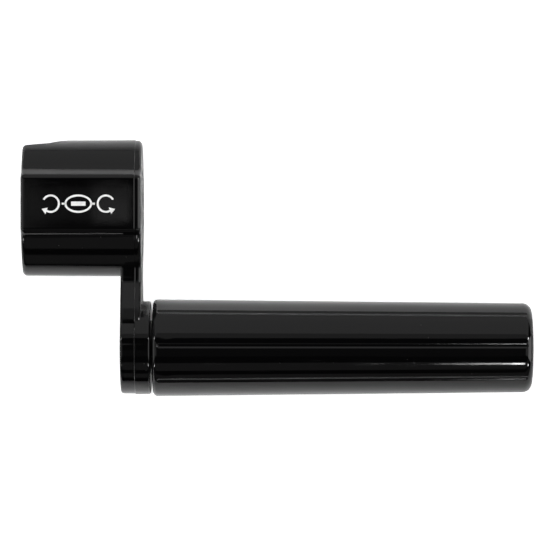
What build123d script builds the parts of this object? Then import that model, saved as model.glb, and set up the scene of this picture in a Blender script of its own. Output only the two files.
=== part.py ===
from build123d import *
import os
from math import acos, atan2, cos, degrees, radians, sin, tan

# A hand crank for turning guitar tuning pegs, lying flat as it rests on a bench.
# The origin is the centre of the peg cup's mouth. +X runs from the mouth along the handle,
# +Y from the handle up to the cup, and +Z is up. All sizes are in millimetres.

# ---- Driving dimensions -------------------------------------------------------------------
overall_length = 110.0
crank_throw = 30.2           # from the cup's axis to the handle's axis

cup_length = 25.8
cup_half_height = 14.8       # the long way of the oval, along Y
cup_half_depth = 10.2        # the short way, along Z
cup_end_radius = 7.35
cup_draft = 0.35             # degrees, closing towards the mouth outside and the floor inside
cup_wall = 2.2
cup_floor = 4.8
mouth_rounding = 0.9
rim_rounding = 0.95
parting_depth = 1.5          # from the closed end to the mould's parting line
parting_lip = 0.03           # a narrow ledge at the parting line
parting_bevel = 0.1          # and a bevel past it, at 45 degrees
cup_inset = 0.1              # keeps the arm's root inside the drafted cup wall

pad_height = 10.5            # of the flat panels above the mid-plane
pad_upper_edge = 6.8         # where the flat and its slope would meet, above the cup's axis
pad_lower_edge = 4.9         # and below it
pad_upper_slope = 58.0       # degrees
pad_lower_slope = 50.0
pad_upper_rounding = 1.5
pad_lower_rounding = 2.0
pad_upper_blend = 2.7        # radius of the hollow where the upper slope meets the cup
pad_lower_blend = 2.0
label_margin = 1.65
label_length = 21.55
label_width = 7.75
label_centre = 0.8
label_depth = 0.3
label_corner = 2.0

arm_thickness = 4.6
arm_half_width = 4.9
arm_root_blend = 2.6
arm_waist = 14.2             # from the handle's axis to where the neck starts to flare
arm_waist_blend = 4.0
arm_flare_radius = 25.0
arm_rounding = 0.6
boss_radius = 9.95
boss_thickness = 6.5
boss_rounding = 0.5

rib_width = 1.5
rib_reach = 2.9
rib_spacing = 9.4
rib_recess = 2.0             # from the mouth to the ribs' near ends
button_slot = 10.8           # between facing ribs, for the flat button of a tuning peg

notch_mouth = 3.9            # half the notch's width where it opens at the mouth
notch_waist = 3.0            # and at the end of its flared sides
notch_tip = 0.7              # and at its narrow end
notch_waist_x = 5.8
notch_length = 9.7
notch_waist_rounding = 3.0
notch_tip_rounding = 0.6

grip_gap = 0.4               # between the boss and the grip
grip_radius = 10.5
grip_end_radius = 9.65
grip_front_rounding = 1.0
grip_end_rounding = 1.95
groove_count = 8
first_groove_angle = 3.5     # degrees from +Z towards +Y
groove_radius = 0.9
groove_depth = 0.2
groove_lip = 0.25
groove_margin = 1.6          # from the grip's ends to where the grooves stop

spindle_radius = 2.5
spindle_flats = 7.0          # across the flats of the moulded-in head
spindle_head_thickness = 2.2
spindle_cover = 1.6          # of boss material over the spindle's head
running_clearance = 0.05
end_float = 0.15
washer_radius = 5.9
washer_thickness = 0.8
bush_radius = 4.0
flange_radius = 6.2
flange_thickness = 1.2
front_bush_length = 8.0
core_radius = 6.9
chamber_radius = 7.2
carrier_start = 68.0         # the shoulder that the rear bush is pressed against
carrier_length = 9.0
carrier_hub_radius = 4.4
carrier_rim_radius = 6.0
carrier_web = 2.6
screw_radius = 1.5
screw_length = 9.0
screw_head_radius = 2.85
screw_head_height = 2.0
screw_head_rounding = 1.3
socket_flats = 2.0
socket_depth = 1.1
retainer_radius = 4.2
retainer_thickness = 0.8
plug_radius = 7.6
plug_thickness = 2.6
plug_recess = 0.15
plug_skirt = 4.0
plug_wall = 1.6

# ---- Worked-out places --------------------------------------------------------------------
handle_y = -crank_throw
arm_start = cup_length - arm_thickness
parting_x = cup_length - parting_depth
boss_end = arm_start + boss_thickness
cup_depth = cup_length - cup_floor
grip_start = boss_end + grip_gap
grip_length = overall_length - grip_start
grip_draft = atan2(grip_radius - grip_end_radius, grip_length)
groove_length = grip_length - 2 * groove_margin
spindle_start = arm_start + spindle_cover
flange_start = boss_end + washer_thickness + end_float
front_bush_start = flange_start + flange_thickness
front_bush_end = front_bush_start + front_bush_length
carrier_end = carrier_start + carrier_length
spindle_end = carrier_end + end_float
retainer_end = spindle_end + retainer_thickness
plug_seat = overall_length - plug_thickness

os.makedirs("parts", exist_ok=True)


def handle_plane(x):
    """A plane across the handle's axis at x, with its normal along +X."""
    return Plane(origin=(x, handle_y, 0), x_dir=(0, 1, 0), z_dir=(1, 0, 0))


def oval(half_height, half_depth, end_radius):
    """A four-arc oval, long along local X: two round ends joined by two flatter sides."""
    end_centre = half_height - end_radius
    side_radius = (end_centre**2 + half_depth**2 - end_radius**2) / (2 * (half_depth - end_radius))
    side_centre = half_depth - side_radius
    join = degrees(atan2(-side_centre, end_centre))
    with BuildSketch() as profile:
        with BuildLine():
            CenterArc((end_centre, 0), end_radius, -join, 2 * join)
            CenterArc((0, side_centre), side_radius, join, 180 - 2 * join)
            CenterArc((-end_centre, 0), end_radius, 180 - join, 2 * join)
            CenterArc((0, -side_centre), side_radius, 180 + join, 180 - 2 * join)
        make_face()
    return profile.sketch


def pad_section():
    """The flat panels and their sloping sides, front and rear, as one section of the cup."""
    upper_foot = pad_upper_edge + pad_height / 2 / tan(radians(pad_upper_slope))
    lower_foot = pad_lower_edge + pad_height / 2 / tan(radians(pad_lower_slope))
    with BuildSketch() as profile:
        with BuildLine():
            Polyline(
                (-lower_foot, pad_height / 2),
                (-pad_lower_edge, pad_height),
                (pad_upper_edge, pad_height),
                (upper_foot, pad_height / 2),
                close=True,
            )
        make_face()
        fillet(profile.vertices().group_by(Axis.Y)[-1].sort_by(Axis.X)[0], pad_lower_rounding)
        fillet(profile.vertices().group_by(Axis.Y)[-1].sort_by(Axis.X)[-1], pad_upper_rounding)
        mirror(about=Plane.XZ)
    return profile.sketch


def cup_section():
    """The cup's outside: the oval with its two panels, blended where their slopes meet it."""
    with BuildSketch() as profile:
        add(oval(cup_half_height, cup_half_depth, cup_end_radius))
        add(pad_section())
        feet = profile.vertices().filter_by(
            lambda corner: cup_end_radius < abs(corner.Y) < cup_half_depth - 1)
        fillet(feet.filter_by(lambda corner: corner.X > 0), pad_upper_blend)
        fillet(feet.filter_by(lambda corner: corner.X < 0), pad_lower_blend)
    return profile.sketch


def arm_section():
    """The arm's outline: a neck blended into the cup, with hollow flares into the round boss."""
    waist_distance = (arm_waist**2 + arm_half_width**2) ** 0.5
    flare_reach = boss_radius + arm_flare_radius
    turn = acos(
        (flare_reach**2 + waist_distance**2 - arm_flare_radius**2)
        / (2 * flare_reach * waist_distance))
    tangent_angle = atan2(arm_half_width, arm_waist) + turn
    waist = (handle_y + arm_waist, arm_half_width)
    tangent = (handle_y + boss_radius * cos(tangent_angle), boss_radius * sin(tangent_angle))
    with BuildSketch() as profile:
        with BuildLine():
            Polyline((-cup_half_height / 2, 0), (-cup_half_height / 2, arm_half_width), waist)
            RadiusArc(waist, tangent, -arm_flare_radius)
            Line(tangent, (tangent[0], 0))
            mirror(about=Plane.XZ)
        make_face()
        waist_corners = profile.vertices().filter_by(
            lambda corner: abs(corner.X - waist[0]) < 0.01)
        fillet(waist_corners, arm_waist_blend)
        with Locations((handle_y, 0)):
            Circle(boss_radius)
        with Locations((cup_end_radius - cup_half_height, 0)):
            Circle(cup_end_radius - cup_inset)
        roots = profile.vertices().filter_by(
            lambda corner: abs(abs(corner.Y) - arm_half_width) < 0.01
            and corner.X > waist[0] + arm_waist_blend)
        fillet(roots, arm_root_blend)
    return profile.sketch


def groove_plane(angle):
    """A plane across one grip groove at its near end, its normal along the drafted surface."""
    outward = Vector(0, sin(radians(angle)), cos(radians(angle)))
    along = Vector(1, 0, 0) * cos(grip_draft) - outward * sin(grip_draft)
    near_end = Vector(grip_start, handle_y, 0) + outward * grip_radius + along * groove_margin
    return Plane(origin=near_end, x_dir=outward.cross(Vector(1, 0, 0)), z_dir=along)


# ---- Crank head: cup, arm and boss in one moulding ----------------------------------------
with BuildPart() as crank_head:
    # The cup's outer wall, up to the parting line, narrowing towards its mouth.
    with BuildSketch(Plane.YZ.offset(parting_x)):
        add(oval(cup_half_height, cup_half_depth, cup_end_radius))
    extrude(amount=-parting_x, taper=cup_draft)
    with BuildSketch(Plane.YZ):
        add(pad_section())
    extrude(amount=parting_x)
    pad_feet = crank_head.edges().filter_by(
        lambda edge: edge.length > cup_length / 2
        and cup_end_radius < abs(edge.center().Z) < cup_half_depth - 1)
    fillet(pad_feet.filter_by(lambda edge: edge.center().Y > 0), pad_upper_blend)
    pad_feet = crank_head.edges().filter_by(
        lambda edge: edge.length > cup_length / 2 and edge.center().Y < 0
        and cup_end_radius < abs(edge.center().Z) < cup_half_depth - 1)
    fillet(pad_feet, pad_lower_blend)
    mouth_face = crank_head.faces().sort_by(Axis.X)[0]
    fillet(mouth_face.edges(), mouth_rounding)
    # The arm and boss, up to the parting line.
    with BuildSketch(Plane.YZ.offset(arm_start)):
        add(arm_section())
    extrude(amount=parting_x - arm_start)
    arm_back = crank_head.faces().filter_by(Axis.X).filter_by(
        lambda face: abs(face.center().X - arm_start) < 0.01)
    arm_edges = arm_back.edges().filter_by(lambda edge: edge.center().Y < -cup_half_height)
    fillet(arm_edges, arm_rounding)
    # Past the parting line every outline steps in a little, down a short bevel.
    with BuildSketch(Plane.YZ.offset(parting_x)):
        add(cup_section())
        add(arm_section())
        offset(amount=-parting_lip)
    extrude(amount=parting_bevel, taper=45)
    with BuildSketch(Plane.YZ.offset(parting_x + parting_bevel)):
        add(cup_section())
        add(arm_section())
        offset(amount=-parting_lip - parting_bevel)
    extrude(amount=parting_depth - parting_bevel)
    closed_end = crank_head.faces().sort_by(Axis.X)[-1]
    fillet(closed_end.edges(), rim_rounding)
    # The boss stands out past the arm.
    with BuildSketch(handle_plane(parting_x)):
        Circle(boss_radius + parting_lip)
    extrude(amount=parting_bevel, taper=-45)
    with BuildSketch(handle_plane(parting_x + parting_bevel)):
        Circle(boss_radius + parting_lip + parting_bevel)
    extrude(amount=boss_end - parting_x - parting_bevel)
    boss_face = crank_head.faces().sort_by(Axis.X)[-1]
    fillet(boss_face.edges(), boss_rounding)
    # The pocket that holds the spindle.
    with BuildSketch(handle_plane(spindle_start)):
        RegularPolygon(spindle_flats / 2, 6, major_radius=False)
    extrude(amount=spindle_head_thickness, mode=Mode.SUBTRACT)
    with BuildSketch(handle_plane(spindle_start)):
        Circle(spindle_radius)
    extrude(amount=boss_end - spindle_start, mode=Mode.SUBTRACT)
    # The cup's inside, narrowing towards its floor.
    with BuildSketch(Plane.YZ):
        add(oval(cup_half_height - cup_wall, cup_half_depth - cup_wall, cup_end_radius - cup_wall))
    extrude(amount=cup_depth, taper=cup_draft, mode=Mode.SUBTRACT)
    # Four ribs take the flats of a peg's button.
    with BuildSketch(Plane.YZ.offset(rib_recess)):
        with GridLocations(rib_spacing, button_slot + rib_reach, 2, 2):
            Rectangle(rib_width, rib_reach)
    extrude(amount=cup_depth - rib_recess)
    # The notch that lifts bridge pins goes through the upper wall at the mouth.
    notch_plane = Plane(origin=(0, cup_half_height / 2, 0), x_dir=(1, 0, 0), z_dir=(0, 1, 0))
    with BuildSketch(notch_plane) as notch_outline:
        with BuildLine():
            Polyline(
                (0, notch_mouth),
                (notch_waist_x, notch_waist),
                (notch_length, notch_tip),
                (notch_length, -notch_tip),
                (notch_waist_x, -notch_waist),
                (0, -notch_mouth),
                close=True,
            )
        make_face()
        corners = notch_outline.vertices().group_by(Axis.X)
        fillet(corners[1], notch_waist_rounding)
        fillet(notch_outline.vertices().group_by(Axis.X)[-1], notch_tip_rounding)
    extrude(amount=cup_half_height, mode=Mode.SUBTRACT)
    # A shallow recess in the front panel takes the label.
    with BuildSketch(Plane.XY.offset(pad_height)):
        with Locations((label_margin + label_length / 2, label_centre)):
            RectangleRounded(label_length, label_width, label_corner)
    extrude(amount=-label_depth, mode=Mode.SUBTRACT)

# ---- Spindle: a steel pin moulded into the boss, tapped at its far end --------------------
with BuildPart() as spindle:
    with BuildSketch(handle_plane(spindle_start)):
        RegularPolygon(spindle_flats / 2, 6, major_radius=False)
    extrude(amount=spindle_head_thickness)
    with BuildSketch(handle_plane(spindle_start)):
        Circle(spindle_radius)
    extrude(amount=spindle_end - spindle_start)
    with BuildSketch(handle_plane(spindle_end)):
        Circle(screw_radius)
    extrude(amount=-screw_length, mode=Mode.SUBTRACT)

# ---- Thrust washer: nylon, between the boss and the front bush ----------------------------
with BuildPart() as thrust_washer:
    with BuildSketch(handle_plane(boss_end)):
        Circle(washer_radius)
        Circle(spindle_radius + running_clearance, mode=Mode.SUBTRACT)
    extrude(amount=washer_thickness)

# ---- Front bush: flanged, pressed into the grip's crank end -------------------------------
with BuildPart() as front_bush:
    with BuildSketch(handle_plane(flange_start)):
        Circle(flange_radius)
    extrude(amount=flange_thickness)
    with BuildSketch(handle_plane(front_bush_start)):
        Circle(bush_radius)
    extrude(amount=front_bush_length)
    with BuildSketch(handle_plane(flange_start)):
        Circle(spindle_radius + running_clearance)
    extrude(amount=flange_thickness + front_bush_length, mode=Mode.SUBTRACT)

# ---- Rear bush: a cored carrier, pressed in from the far end against a shoulder -----------
with BuildPart() as rear_bush:
    with BuildSketch(handle_plane(carrier_start)):
        Circle(chamber_radius)
        Circle(spindle_radius + running_clearance, mode=Mode.SUBTRACT)
    extrude(amount=carrier_length)
    with BuildSketch(handle_plane(carrier_end)):
        Circle(carrier_rim_radius)
        Circle(carrier_hub_radius, mode=Mode.SUBTRACT)
    extrude(amount=carrier_web - carrier_length, mode=Mode.SUBTRACT)

# ---- Retaining washer and screw: they hold the grip on the spindle ------------------------
with BuildPart() as retaining_washer:
    with BuildSketch(handle_plane(spindle_end)):
        Circle(retainer_radius)
        Circle(screw_radius + 2 * running_clearance, mode=Mode.SUBTRACT)
    extrude(amount=retainer_thickness)

with BuildPart() as retaining_screw:
    with BuildSketch(handle_plane(retainer_end)):
        Circle(screw_radius)
    extrude(amount=-screw_length)
    with BuildSketch(handle_plane(retainer_end)):
        Circle(screw_head_radius)
    extrude(amount=screw_head_height)
    crown = retaining_screw.faces().sort_by(Axis.X)[-1]
    fillet(crown.edges(), screw_head_rounding)
    with BuildSketch(handle_plane(retainer_end + screw_head_height)):
        RegularPolygon(socket_flats / 2, 6, major_radius=False)
    extrude(amount=-socket_depth, mode=Mode.SUBTRACT)

# ---- Grip shell: a drafted sleeve with grooves along it -----------------------------------
with BuildPart() as grip_shell:
    with BuildSketch(Plane((0, handle_y, 0))) as grip_section:
        with BuildLine():
            Polyline(
                (grip_start, flange_radius),
                (grip_start, grip_radius),
                (overall_length, grip_end_radius),
                (overall_length, plug_radius),
                (plug_seat, plug_radius),
                (plug_seat, chamber_radius),
                (carrier_start, chamber_radius),
                (carrier_start, core_radius),
                (front_bush_end, core_radius),
                (front_bush_end, bush_radius),
                (front_bush_start, bush_radius),
                (front_bush_start, flange_radius),
                close=True,
            )
        make_face()
        fillet(grip_section.vertices().group_by(Axis.X)[0].sort_by(Axis.Y)[-1], grip_front_rounding)
        fillet(grip_section.vertices().group_by(Axis.X)[-1].sort_by(Axis.Y)[-1], grip_end_rounding)
    revolve(axis=Axis((0, handle_y, 0), (1, 0, 0)))
    for index in range(groove_count):
        across = groove_plane(first_groove_angle + index * 360 / groove_count)
        with BuildSketch(across):
            with Locations((0, groove_radius - groove_depth)):
                Circle(groove_radius)
        extrude(amount=groove_length, mode=Mode.SUBTRACT)
        with Locations(across.offset(groove_length), across):
            with Locations((0, groove_radius - groove_depth, 0)):
                Sphere(groove_radius, mode=Mode.SUBTRACT)
    lips = grip_shell.edges().filter_by(
        lambda edge: groove_length - 1 < edge.length < groove_length)
    fillet(lips, groove_lip)

# ---- End plug: closes the grip's far end --------------------------------------------------
with BuildPart() as end_plug:
    with BuildSketch(handle_plane(plug_seat)):
        Circle(plug_radius)
    extrude(amount=plug_thickness - plug_recess)
    with BuildSketch(handle_plane(plug_seat)):
        Circle(chamber_radius)
        Circle(chamber_radius - plug_wall, mode=Mode.SUBTRACT)
    extrude(amount=-plug_skirt)

# ---- One file for each piece --------------------------------------------------------------
pieces = {
    "crank_head": crank_head,
    "spindle": spindle,
    "thrust_washer": thrust_washer,
    "front_bush": front_bush,
    "rear_bush": rear_bush,
    "retaining_washer": retaining_washer,
    "retaining_screw": retaining_screw,
    "grip_shell": grip_shell,
    "end_plug": end_plug,
}
for name, piece in pieces.items():
    piece.part.label = name
    export_step(piece.part, f"parts/{name}.step")
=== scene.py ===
import bpy
import math
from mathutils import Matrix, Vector


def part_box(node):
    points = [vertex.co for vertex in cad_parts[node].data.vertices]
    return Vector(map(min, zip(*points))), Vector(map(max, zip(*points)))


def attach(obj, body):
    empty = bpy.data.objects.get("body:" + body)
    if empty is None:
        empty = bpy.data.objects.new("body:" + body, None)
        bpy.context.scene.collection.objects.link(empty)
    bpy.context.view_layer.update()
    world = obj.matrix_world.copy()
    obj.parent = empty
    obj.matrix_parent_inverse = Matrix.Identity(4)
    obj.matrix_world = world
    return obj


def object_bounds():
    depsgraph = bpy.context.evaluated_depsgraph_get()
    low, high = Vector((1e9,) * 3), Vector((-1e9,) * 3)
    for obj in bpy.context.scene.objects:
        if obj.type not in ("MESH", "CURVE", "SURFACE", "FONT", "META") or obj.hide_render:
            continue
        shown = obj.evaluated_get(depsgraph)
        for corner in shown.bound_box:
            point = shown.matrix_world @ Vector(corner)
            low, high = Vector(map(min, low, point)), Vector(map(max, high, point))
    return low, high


# A gloss black guitar string winder lying on a white table, seen from straight above.
# Everything is in metres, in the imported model's frame. MM turns millimetres into metres.

MM = 0.001
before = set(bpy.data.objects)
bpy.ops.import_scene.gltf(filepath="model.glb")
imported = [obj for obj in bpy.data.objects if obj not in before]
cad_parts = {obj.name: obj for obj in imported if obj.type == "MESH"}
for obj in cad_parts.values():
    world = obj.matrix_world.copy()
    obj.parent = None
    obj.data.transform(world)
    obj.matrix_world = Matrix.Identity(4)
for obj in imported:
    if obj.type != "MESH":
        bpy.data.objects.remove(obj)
cad_low, cad_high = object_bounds()

# ---- Places read from the frame -----------------------------------------------------------
_, crank_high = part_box("crank_head")
grip_low, grip_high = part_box("grip_shell")
floor_z = cad_low.z
handle_y = (grip_low.y + grip_high.y) / 2

# The label sits in a recess in the cup's front panel.
LABEL_X = 12.43 * MM
LABEL_Y = 0.8 * MM
LABEL_FLOOR = crank_high.z - 0.3 * MM
INK_HEIGHT = 0.03 * MM
INK_THICKNESS = 0.02 * MM

# ---- Colours ------------------------------------------------------------------------------
MOULDED_BLACK = (0.003, 0.003, 0.0033, 1)
DUST_GREY = (0.05, 0.05, 0.048, 1)
STEEL_BRIGHT = (0.60, 0.60, 0.61, 1)
STEEL_DULL = (0.46, 0.455, 0.45, 1)
NYLON_DARK = (0.012, 0.012, 0.013, 1)
NYLON_WORN = (0.02, 0.02, 0.02, 1)
ACETAL_LIGHT = (0.82, 0.82, 0.79, 1)
ACETAL_DARK = (0.74, 0.74, 0.71, 1)
INK_LIGHT = (0.86, 0.86, 0.85, 1)
INK_DARK = (0.74, 0.74, 0.74, 1)
INK_PINHOLE = (0.30, 0.30, 0.30, 1)
TABLE_DARK = (0.80, 0.80, 0.80, 1)
TABLE_LIGHT = (0.82, 0.82, 0.82, 1)
WHITE = (1, 1, 1, 1)
STUDIO_WHITE = (0.95, 0.95, 0.95, 1)


# ---- Material helpers ---------------------------------------------------------------------
class Nodes:
    """A small helper that adds nodes to one material and links them."""

    def __init__(self, name):
        self.material = bpy.data.materials.new(name)
        self.material.use_nodes = True
        self.tree = self.material.node_tree
        self.tree.nodes.clear()
        self.output = self.tree.nodes.new("ShaderNodeOutputMaterial")

    def add(self, kind, inputs=None, **settings):
        node = self.tree.nodes.new(kind)
        for key, value in settings.items():
            setattr(node, key, value)
        for key, value in (inputs or {}).items():
            if isinstance(value, bpy.types.NodeSocket):
                self.tree.links.new(value, node.inputs[key])
            else:
                node.inputs[key].default_value = value
        return node

    def coordinates(self, stretch=(1, 1, 1), turn=(0, 0, 0)):
        """Object coordinates in millimetres, stretched and turned."""
        place = self.add("ShaderNodeTexCoord")
        return self.add("ShaderNodeMapping", {
            "Vector": place.outputs["Object"],
            "Scale": [s / MM for s in stretch],
            "Rotation": turn,
        }).outputs[0]

    def noise(self, scale, detail=2.0, stretch=(1, 1, 1), turn=(0, 0, 0)):
        """Noise whose scale is in features per millimetre."""
        return self.add("ShaderNodeTexNoise", {
            "Vector": self.coordinates(stretch, turn), "Scale": scale, "Detail": detail,
        }).outputs["Fac"]

    def ramp(self, value, low, high, start=0.0, end=1.0):
        """A value that goes from start to end as the input goes from low to high."""
        return self.add("ShaderNodeMapRange", {
            "Value": value, "From Min": low, "From Max": high, "To Min": start, "To Max": end,
        }).outputs[0]

    def math(self, operation, a, b):
        return self.add("ShaderNodeMath", {0: a, 1: b}, operation=operation).outputs[0]

    def mix(self, factor, first, second):
        """A colour between two others: 6 and 7 are the node's colour inputs, 2 its output."""
        node = self.add("ShaderNodeMix", {0: factor, 6: first, 7: second}, data_type="RGBA")
        return node.outputs[2]

    def bump(self, height, strength, distance, normal=None):
        inputs = {"Height": height, "Strength": strength, "Distance": distance}
        if normal is not None:
            inputs["Normal"] = normal
        return self.add("ShaderNodeBump", inputs).outputs[0]

    def finish(self, shader):
        self.tree.links.new(shader, self.output.inputs["Surface"])
        return self.material


def gloss_black(name, smooth=0.04, rough=0.11, lay=0.5):
    """Polished black moulding: faint ripple, hairline scratches, smudges and a little dust."""
    n = Nodes(name)
    smudges = n.ramp(n.noise(scale=0.11, detail=4.0), low=0.40, high=0.75)
    along = n.noise(scale=2.2, detail=1.0, stretch=(0.03, 1.0, 1.0), turn=(0, 0, lay))
    across = n.noise(scale=1.8, detail=1.0, stretch=(1.0, 0.04, 1.0), turn=(0, 0, lay / 2))
    scratches = n.ramp(along, low=0.70, high=0.74)
    crossing = n.ramp(across, low=0.71, high=0.75)
    marks = n.math("MAXIMUM", scratches, crossing)
    smudged = n.ramp(smudges, low=0, high=1, start=smooth, end=rough)
    scratched = n.ramp(marks, low=0, high=1, start=0, end=0.10)
    roughness = n.math("ADD", smudged, scratched)
    specks = n.add("ShaderNodeTexVoronoi", {
        "Vector": n.coordinates(), "Scale": 0.35, "Randomness": 1.0,
    }, feature="F1")
    dust = n.ramp(specks.outputs["Distance"], low=0.030, high=0.045, start=1.0, end=0.0)
    ripple = n.bump(n.noise(scale=0.12, detail=2.0), strength=0.12, distance=0.06 * MM)
    grain = n.bump(n.noise(scale=4.0, detail=3.0), 0.06, 0.02 * MM, normal=ripple)
    surface = n.bump(marks, strength=-0.15, distance=0.01 * MM, normal=grain)
    shader = n.add("ShaderNodeBsdfPrincipled", {
        "Base Color": n.mix(dust, MOULDED_BLACK, DUST_GREY),
        "Roughness": roughness, "IOR": 1.5, "Normal": surface,
    })
    return n.finish(shader.outputs[0])


def turned_steel(name):
    """Bright steel with fine turning lines round the handle's axis and a few dull patches."""
    n = Nodes(name)
    lines = n.noise(scale=14.0, detail=2.0, stretch=(1.0, 0.02, 0.02))
    patches = n.ramp(n.noise(scale=0.5, detail=3.0), low=0.4, high=0.7)
    dulled = n.ramp(patches, low=0, high=1, start=0.20, end=0.34)
    lined = n.ramp(lines, low=0.3, high=0.7, start=0, end=0.08)
    shader = n.add("ShaderNodeBsdfPrincipled", {
        "Base Color": n.mix(patches, STEEL_BRIGHT, STEEL_DULL), "Metallic": 1.0,
        "Roughness": n.math("ADD", dulled, lined),
        "Normal": n.bump(lines, strength=0.2, distance=0.02 * MM),
    })
    return n.finish(shader.outputs[0])


def bearing_plastic(name, light, dark, smooth, rough):
    """A moulded bearing plastic: cloudy, slightly see-through, with a fine skin."""
    n = Nodes(name)
    cloud = n.ramp(n.noise(scale=0.35, detail=3.0), low=0.35, high=0.7)
    skin = n.noise(scale=6.0, detail=3.0)
    shader = n.add("ShaderNodeBsdfPrincipled", {
        "Base Color": n.mix(cloud, light, dark),
        "Roughness": n.ramp(skin, low=0.3, high=0.7, start=smooth, end=rough),
        "Subsurface Weight": 0.3, "Subsurface Radius": (0.001, 0.0009, 0.0008),
        "Subsurface Scale": 0.5,
        "Normal": n.bump(skin, strength=0.15, distance=0.02 * MM),
    })
    return n.finish(shader.outputs[0])


def white_ink(name):
    """Pad-printed white: thin, a little uneven, with the black showing through in pinholes."""
    n = Nodes(name)
    cloud = n.ramp(n.noise(scale=0.8, detail=3.0), low=0.35, high=0.7)
    pinholes = n.ramp(n.noise(scale=5.0, detail=2.0), low=0.70, high=0.76)
    colour = n.mix(pinholes, n.mix(cloud, INK_LIGHT, INK_DARK), INK_PINHOLE)
    skin = n.noise(scale=3.0, detail=3.0)
    shader = n.add("ShaderNodeBsdfPrincipled", {
        "Base Color": colour,
        "Roughness": n.ramp(skin, low=0.3, high=0.7, start=0.45, end=0.6),
        "Normal": n.bump(n.noise(scale=6.0, detail=2.0), strength=0.2, distance=0.01 * MM),
    })
    return n.finish(shader.outputs[0])


def put_material(node_name, material):
    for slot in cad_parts[node_name].material_slots:
        slot.link = "OBJECT"
        slot.material = material


steel = turned_steel("turned_steel")
black_nylon = bearing_plastic(
    "black_nylon", light=NYLON_DARK, dark=NYLON_WORN, smooth=0.35, rough=0.5)
acetal = bearing_plastic(
    "natural_acetal", light=ACETAL_LIGHT, dark=ACETAL_DARK, smooth=0.25, rough=0.4)
put_material("crank_head", gloss_black("gloss_black_crank"))
put_material("grip_shell", gloss_black("gloss_black_grip", lay=0.12))
put_material("end_plug", gloss_black("gloss_black_plug", smooth=0.12, rough=0.22, lay=1.1))
for node_name in ("spindle", "retaining_washer", "retaining_screw"):
    put_material(node_name, steel)
for node_name in ("thrust_washer", "front_bush"):
    put_material(node_name, black_nylon)
put_material("rear_bush", acetal)


# ---- Label: a plain pictogram of turning a peg, one way and the other ---------------------
# Its sizes are in millimetres, from the label's centre.
STROKE_HALF = 0.21
CUP_HALF_LENGTH = 2.75
CUP_HALF_HEIGHT = 1.75
BUTTON_HALF_LENGTH = 1.55
BUTTON_HALF_HEIGHT = 0.45
DASH_END = 3.55
ARROW_X = 5.9
ARROW_RADIUS = 1.75
ARROW_START = 150
ARROW_END = -120
HEAD_LENGTH = 1.15
HEAD_HALF_WIDTH = 0.72


def link_mesh(name, points, faces, material):
    mesh = bpy.data.meshes.new(name)
    mesh.from_pydata(points, [], faces)
    mesh.materials.append(material)
    piece = bpy.data.objects.new(name, mesh)
    bpy.context.scene.collection.objects.link(piece)
    return piece


def ribbon(line, half_width, closed=False):
    """A flat band along a line of (x, y) points in mm, as points and faces."""
    points, faces = [], []
    count = len(line)
    for i in range(count):
        before = line[i - 1] if closed or i > 0 else line[i]
        after = line[(i + 1) % count] if closed or i < count - 1 else line[i]
        step = Vector((after[0] - before[0], after[1] - before[1])).normalized()
        side = Vector((-step.y, step.x)) * half_width
        here = Vector(line[i])
        points += [here + side, here - side]
    for i in range(count if closed else count - 1):
        j = (i + 1) % count
        faces.append((2 * i, 2 * i + 1, 2 * j + 1, 2 * j))
    return points, faces


def arc(centre_x, radius_x, radius_y, start, end, steps):
    """Points on an ellipse, angles in degrees."""
    points = []
    for i in range(steps + 1):
        angle = math.radians(start + (end - start) * i / steps)
        points.append((centre_x + radius_x * math.cos(angle), radius_y * math.sin(angle)))
    return points


def turning_arrow(centre_x, side):
    """An open ring with an arrowhead, turning clockwise for side 1 and the other way for -1."""
    circle = arc(centre_x, ARROW_RADIUS, ARROW_RADIUS, ARROW_START, ARROW_END, steps=40)
    ring = [(centre_x + side * (x - centre_x), y) for x, y in circle]
    points, faces = ribbon(ring, STROKE_HALF)
    tip, tail = Vector(ring[-1]), Vector(ring[-4])
    forward = (tip - tail).normalized()
    outward = Vector((-forward.y, forward.x)) * HEAD_HALF_WIDTH
    first = len(points)
    points += [tip + forward * HEAD_LENGTH, tip - outward, tip + outward]
    faces.append((first, first + 1, first + 2))
    return points, faces


def pictogram():
    """The cup seen end-on with a peg's button in it, between two turning arrows."""
    cup = arc(0, CUP_HALF_LENGTH, CUP_HALF_HEIGHT, start=0, end=354, steps=59)
    button = [(-BUTTON_HALF_LENGTH, 0.0), (BUTTON_HALF_LENGTH, 0.0)]
    shapes = [
        ribbon(cup, STROKE_HALF, closed=True),
        ribbon(button, BUTTON_HALF_HEIGHT),
        ribbon([(-DASH_END, 0.0), (-CUP_HALF_LENGTH, 0.0)], STROKE_HALF),
        ribbon([(CUP_HALF_LENGTH, 0.0), (DASH_END, 0.0)], STROKE_HALF),
        turning_arrow(-ARROW_X, 1),
        turning_arrow(ARROW_X, -1),
    ]
    ink_z = LABEL_FLOOR + INK_HEIGHT
    points, faces = [], []
    for shape_points, shape_faces in shapes:
        first = len(points)
        points += [(LABEL_X + p.x * MM, LABEL_Y + p.y * MM, ink_z)
                   for p in map(Vector, shape_points)]
        faces += [tuple(first + i for i in face) for face in shape_faces]
    return link_mesh("turn_pictogram", points, faces, white_ink("white_ink"))


label = pictogram()
thickness = label.modifiers.new("ink_thickness", "SOLIDIFY")
thickness.thickness = INK_THICKNESS
thickness.offset = 0.0
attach(label, "crank")


# ---- Floor --------------------------------------------------------------------------------
TABLE_HALF_SIZE = 6.0
TABLE_GAP = 0.05 * MM


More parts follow.
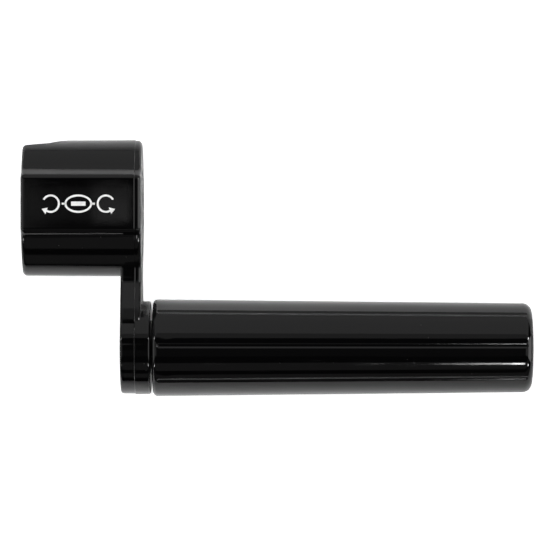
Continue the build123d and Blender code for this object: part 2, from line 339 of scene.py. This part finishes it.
def floor_plane(name, height, glow):
    """A large square of pale tabletop; glow is light of its own, on top of what falls on it."""
    size = TABLE_HALF_SIZE
    corners = [
        (-size, -size, height),
        (size, -size, height),
        (size, size, height),
        (-size, size, height),
    ]
    n = Nodes(name)
    paper = n.noise(scale=0.05, detail=4.0)
    shader = n.add("ShaderNodeBsdfPrincipled", {
        "Base Color": n.mix(paper, TABLE_DARK, TABLE_LIGHT),
        "Roughness": 0.7, "Specular IOR Level": 0.0,
        "Emission Color": WHITE, "Emission Strength": glow,
    })
    plane = link_mesh(name, corners, [(0, 1, 2, 3)], n.finish(shader.outputs[0]))
    return plane


# The table that the camera sees glows evenly. The one under it is what gloss reflects.
table = floor_plane("table", floor_z, 0.93)
table.visible_glossy = False
table.visible_diffuse = False
table.visible_shadow = False
reflected_table = floor_plane("reflected_table", floor_z - TABLE_GAP, 0.0)
reflected_table.visible_camera = False
reflected_table.visible_diffuse = False


# ---- Light --------------------------------------------------------------------------------
# Distances are in metres and angles in degrees from straight up.
def area_light(name, centre, target, length, width, radiance):
    """A rectangular soft light facing the target, with even radiance over its area."""
    data = bpy.data.lights.new(name, "AREA")
    data.shape = "RECTANGLE"
    data.size, data.size_y = length, width
    data.energy = radiance * math.pi * length * width
    light = bpy.data.objects.new(name, data)
    bpy.context.scene.collection.objects.link(light)
    light.location = centre
    aim = Vector(target) - Vector(centre)
    light.rotation_euler = aim.to_track_quat("-Z", "Y").to_euler()
    light.visible_camera = False
    return light


def zone_light(name, low, high, distance, radiance, x=0.055, length=3.0):
    """A light that fills the directions from low to high degrees, towards +Y, over the handle."""
    middle = math.radians((low + high) / 2)
    half_span = math.radians(high - low) / 2
    target = Vector((x, handle_y, 0))
    centre = target + Vector((0, math.sin(middle), math.cos(middle))) * distance
    width = 2 * distance * math.tan(half_span)
    return area_light(name, centre, target, length, width, radiance)


def side_light(name, low, high, distance, radiance, side):
    """A light that fills the directions from low to high degrees, towards side * X."""
    middle = math.radians((low + high) / 2)
    half_span = math.radians(high - low) / 2
    target = Vector((0.03, -0.09, 0))
    centre = target + Vector((side * math.sin(middle), 0, math.cos(middle))) * distance
    width = 2 * distance * math.tan(half_span)
    return area_light(name, centre, target, 0.9, width, radiance)


def lamp_for_one(name, centre, target, radiance, receiver):
    """A small soft lamp that lights one object only and doesn't show in any gloss."""
    lamp = area_light(name, centre, target, 0.06, 0.06, radiance)
    lamp.visible_glossy = False
    receivers = bpy.data.collections.new(name + "_receivers")
    receivers.objects.link(receiver)
    lamp.light_linking.receiver_collection = receivers


zone_light("main_softbox", low=36, high=91, distance=1.4, radiance=0.50)
zone_light("softbox_edge", low=25, high=36, distance=1.6, radiance=0.25)
zone_light("grey_card", low=-56, high=-36, distance=1.3, radiance=0.13)
zone_light("far_grey_card", low=-79, high=-66, distance=1.3, radiance=0.12)
zone_light("ceiling", low=-20, high=-5, distance=1.6, radiance=0.03)
zone_light("lamp", low=-43.0, high=-38.5, distance=1.5, radiance=40, x=0.235, length=0.014)
zone_light(
    "lamp_tail", low=-41.3, high=-40.3, distance=1.5, radiance=14, x=0.210, length=0.040)

side_light("left_card", low=5, high=50, distance=1.5, radiance=0.33, side=-1)
side_light("left_strip", low=50, high=92, distance=1.3, radiance=0.9, side=-1)
side_light("right_card", low=18, high=50, distance=1.5, radiance=0.45, side=1)
side_light("right_strip", low=50, high=92, distance=1.3, radiance=2.0, side=1)

# Two small bright lamps beyond each end glint in the rounded edges.
GLINT_X = 0.9
GLINT_PLACES = ((0.40, 0.70), (-0.72, 0.55))
for side in (-1, 1):
    for lamp_y, lamp_z in GLINT_PLACES:
        centre = (side * GLINT_X, handle_y + lamp_y, lamp_z)
        area_light("glint_lamp", centre, (0.03, handle_y, 0), 0.08, 0.08, radiance=60)

# The flat panel mirrors two small cards that hang over it, one lighter than the other.
CARD_Y = 0.0045
CARD_Z = 0.21
for card_name, card_x, card_length, card_radiance in (
        ("light_card", 0.0108, 0.0095, 0.42),
        ("dark_card", -0.0029, 0.0177, 0.10)):
    area_light(card_name, (card_x, CARD_Y, CARD_Z), (card_x, CARD_Y, 0),
               card_length, 0.0093, card_radiance)

# One lamp gives the reflected table a pool of light. The other is for the printed white,
# which the rest of the light leaves grey.
LAMP_Z = 0.186
lamp_for_one("pool_lamp", (0.0, 0.0, LAMP_Z), (0.0, 0.0, 0), 36, reflected_table)
lamp_for_one("ink_lamp", (LABEL_X, LABEL_Y, LAMP_Z), (LABEL_X, LABEL_Y, 0), 15, label)

# The world is a white background for the camera, and lights nothing.
world = bpy.data.worlds.new("studio")
bpy.context.scene.world = world
world.use_nodes = True
background = world.node_tree.nodes["Background"]
background.inputs["Color"].default_value = STUDIO_WHITE
background.inputs["Strength"].default_value = 1.0
world.cycles_visibility.glossy = False
world.cycles_visibility.diffuse = False

# ---- Camera: a long lens looking straight down --------------------------------------------
camera_data = bpy.data.cameras.new("camera")
camera_data.sensor_width = 36.0
camera_data.lens = 242.2
camera_data.clip_start = 0.01
camera = bpy.data.objects.new("camera", camera_data)
bpy.context.scene.collection.objects.link(camera)
camera.location = (0.0545, -0.01446, 0.8016)
bpy.context.scene.camera = camera
bpy.context.scene.view_settings.view_transform = "Standard"
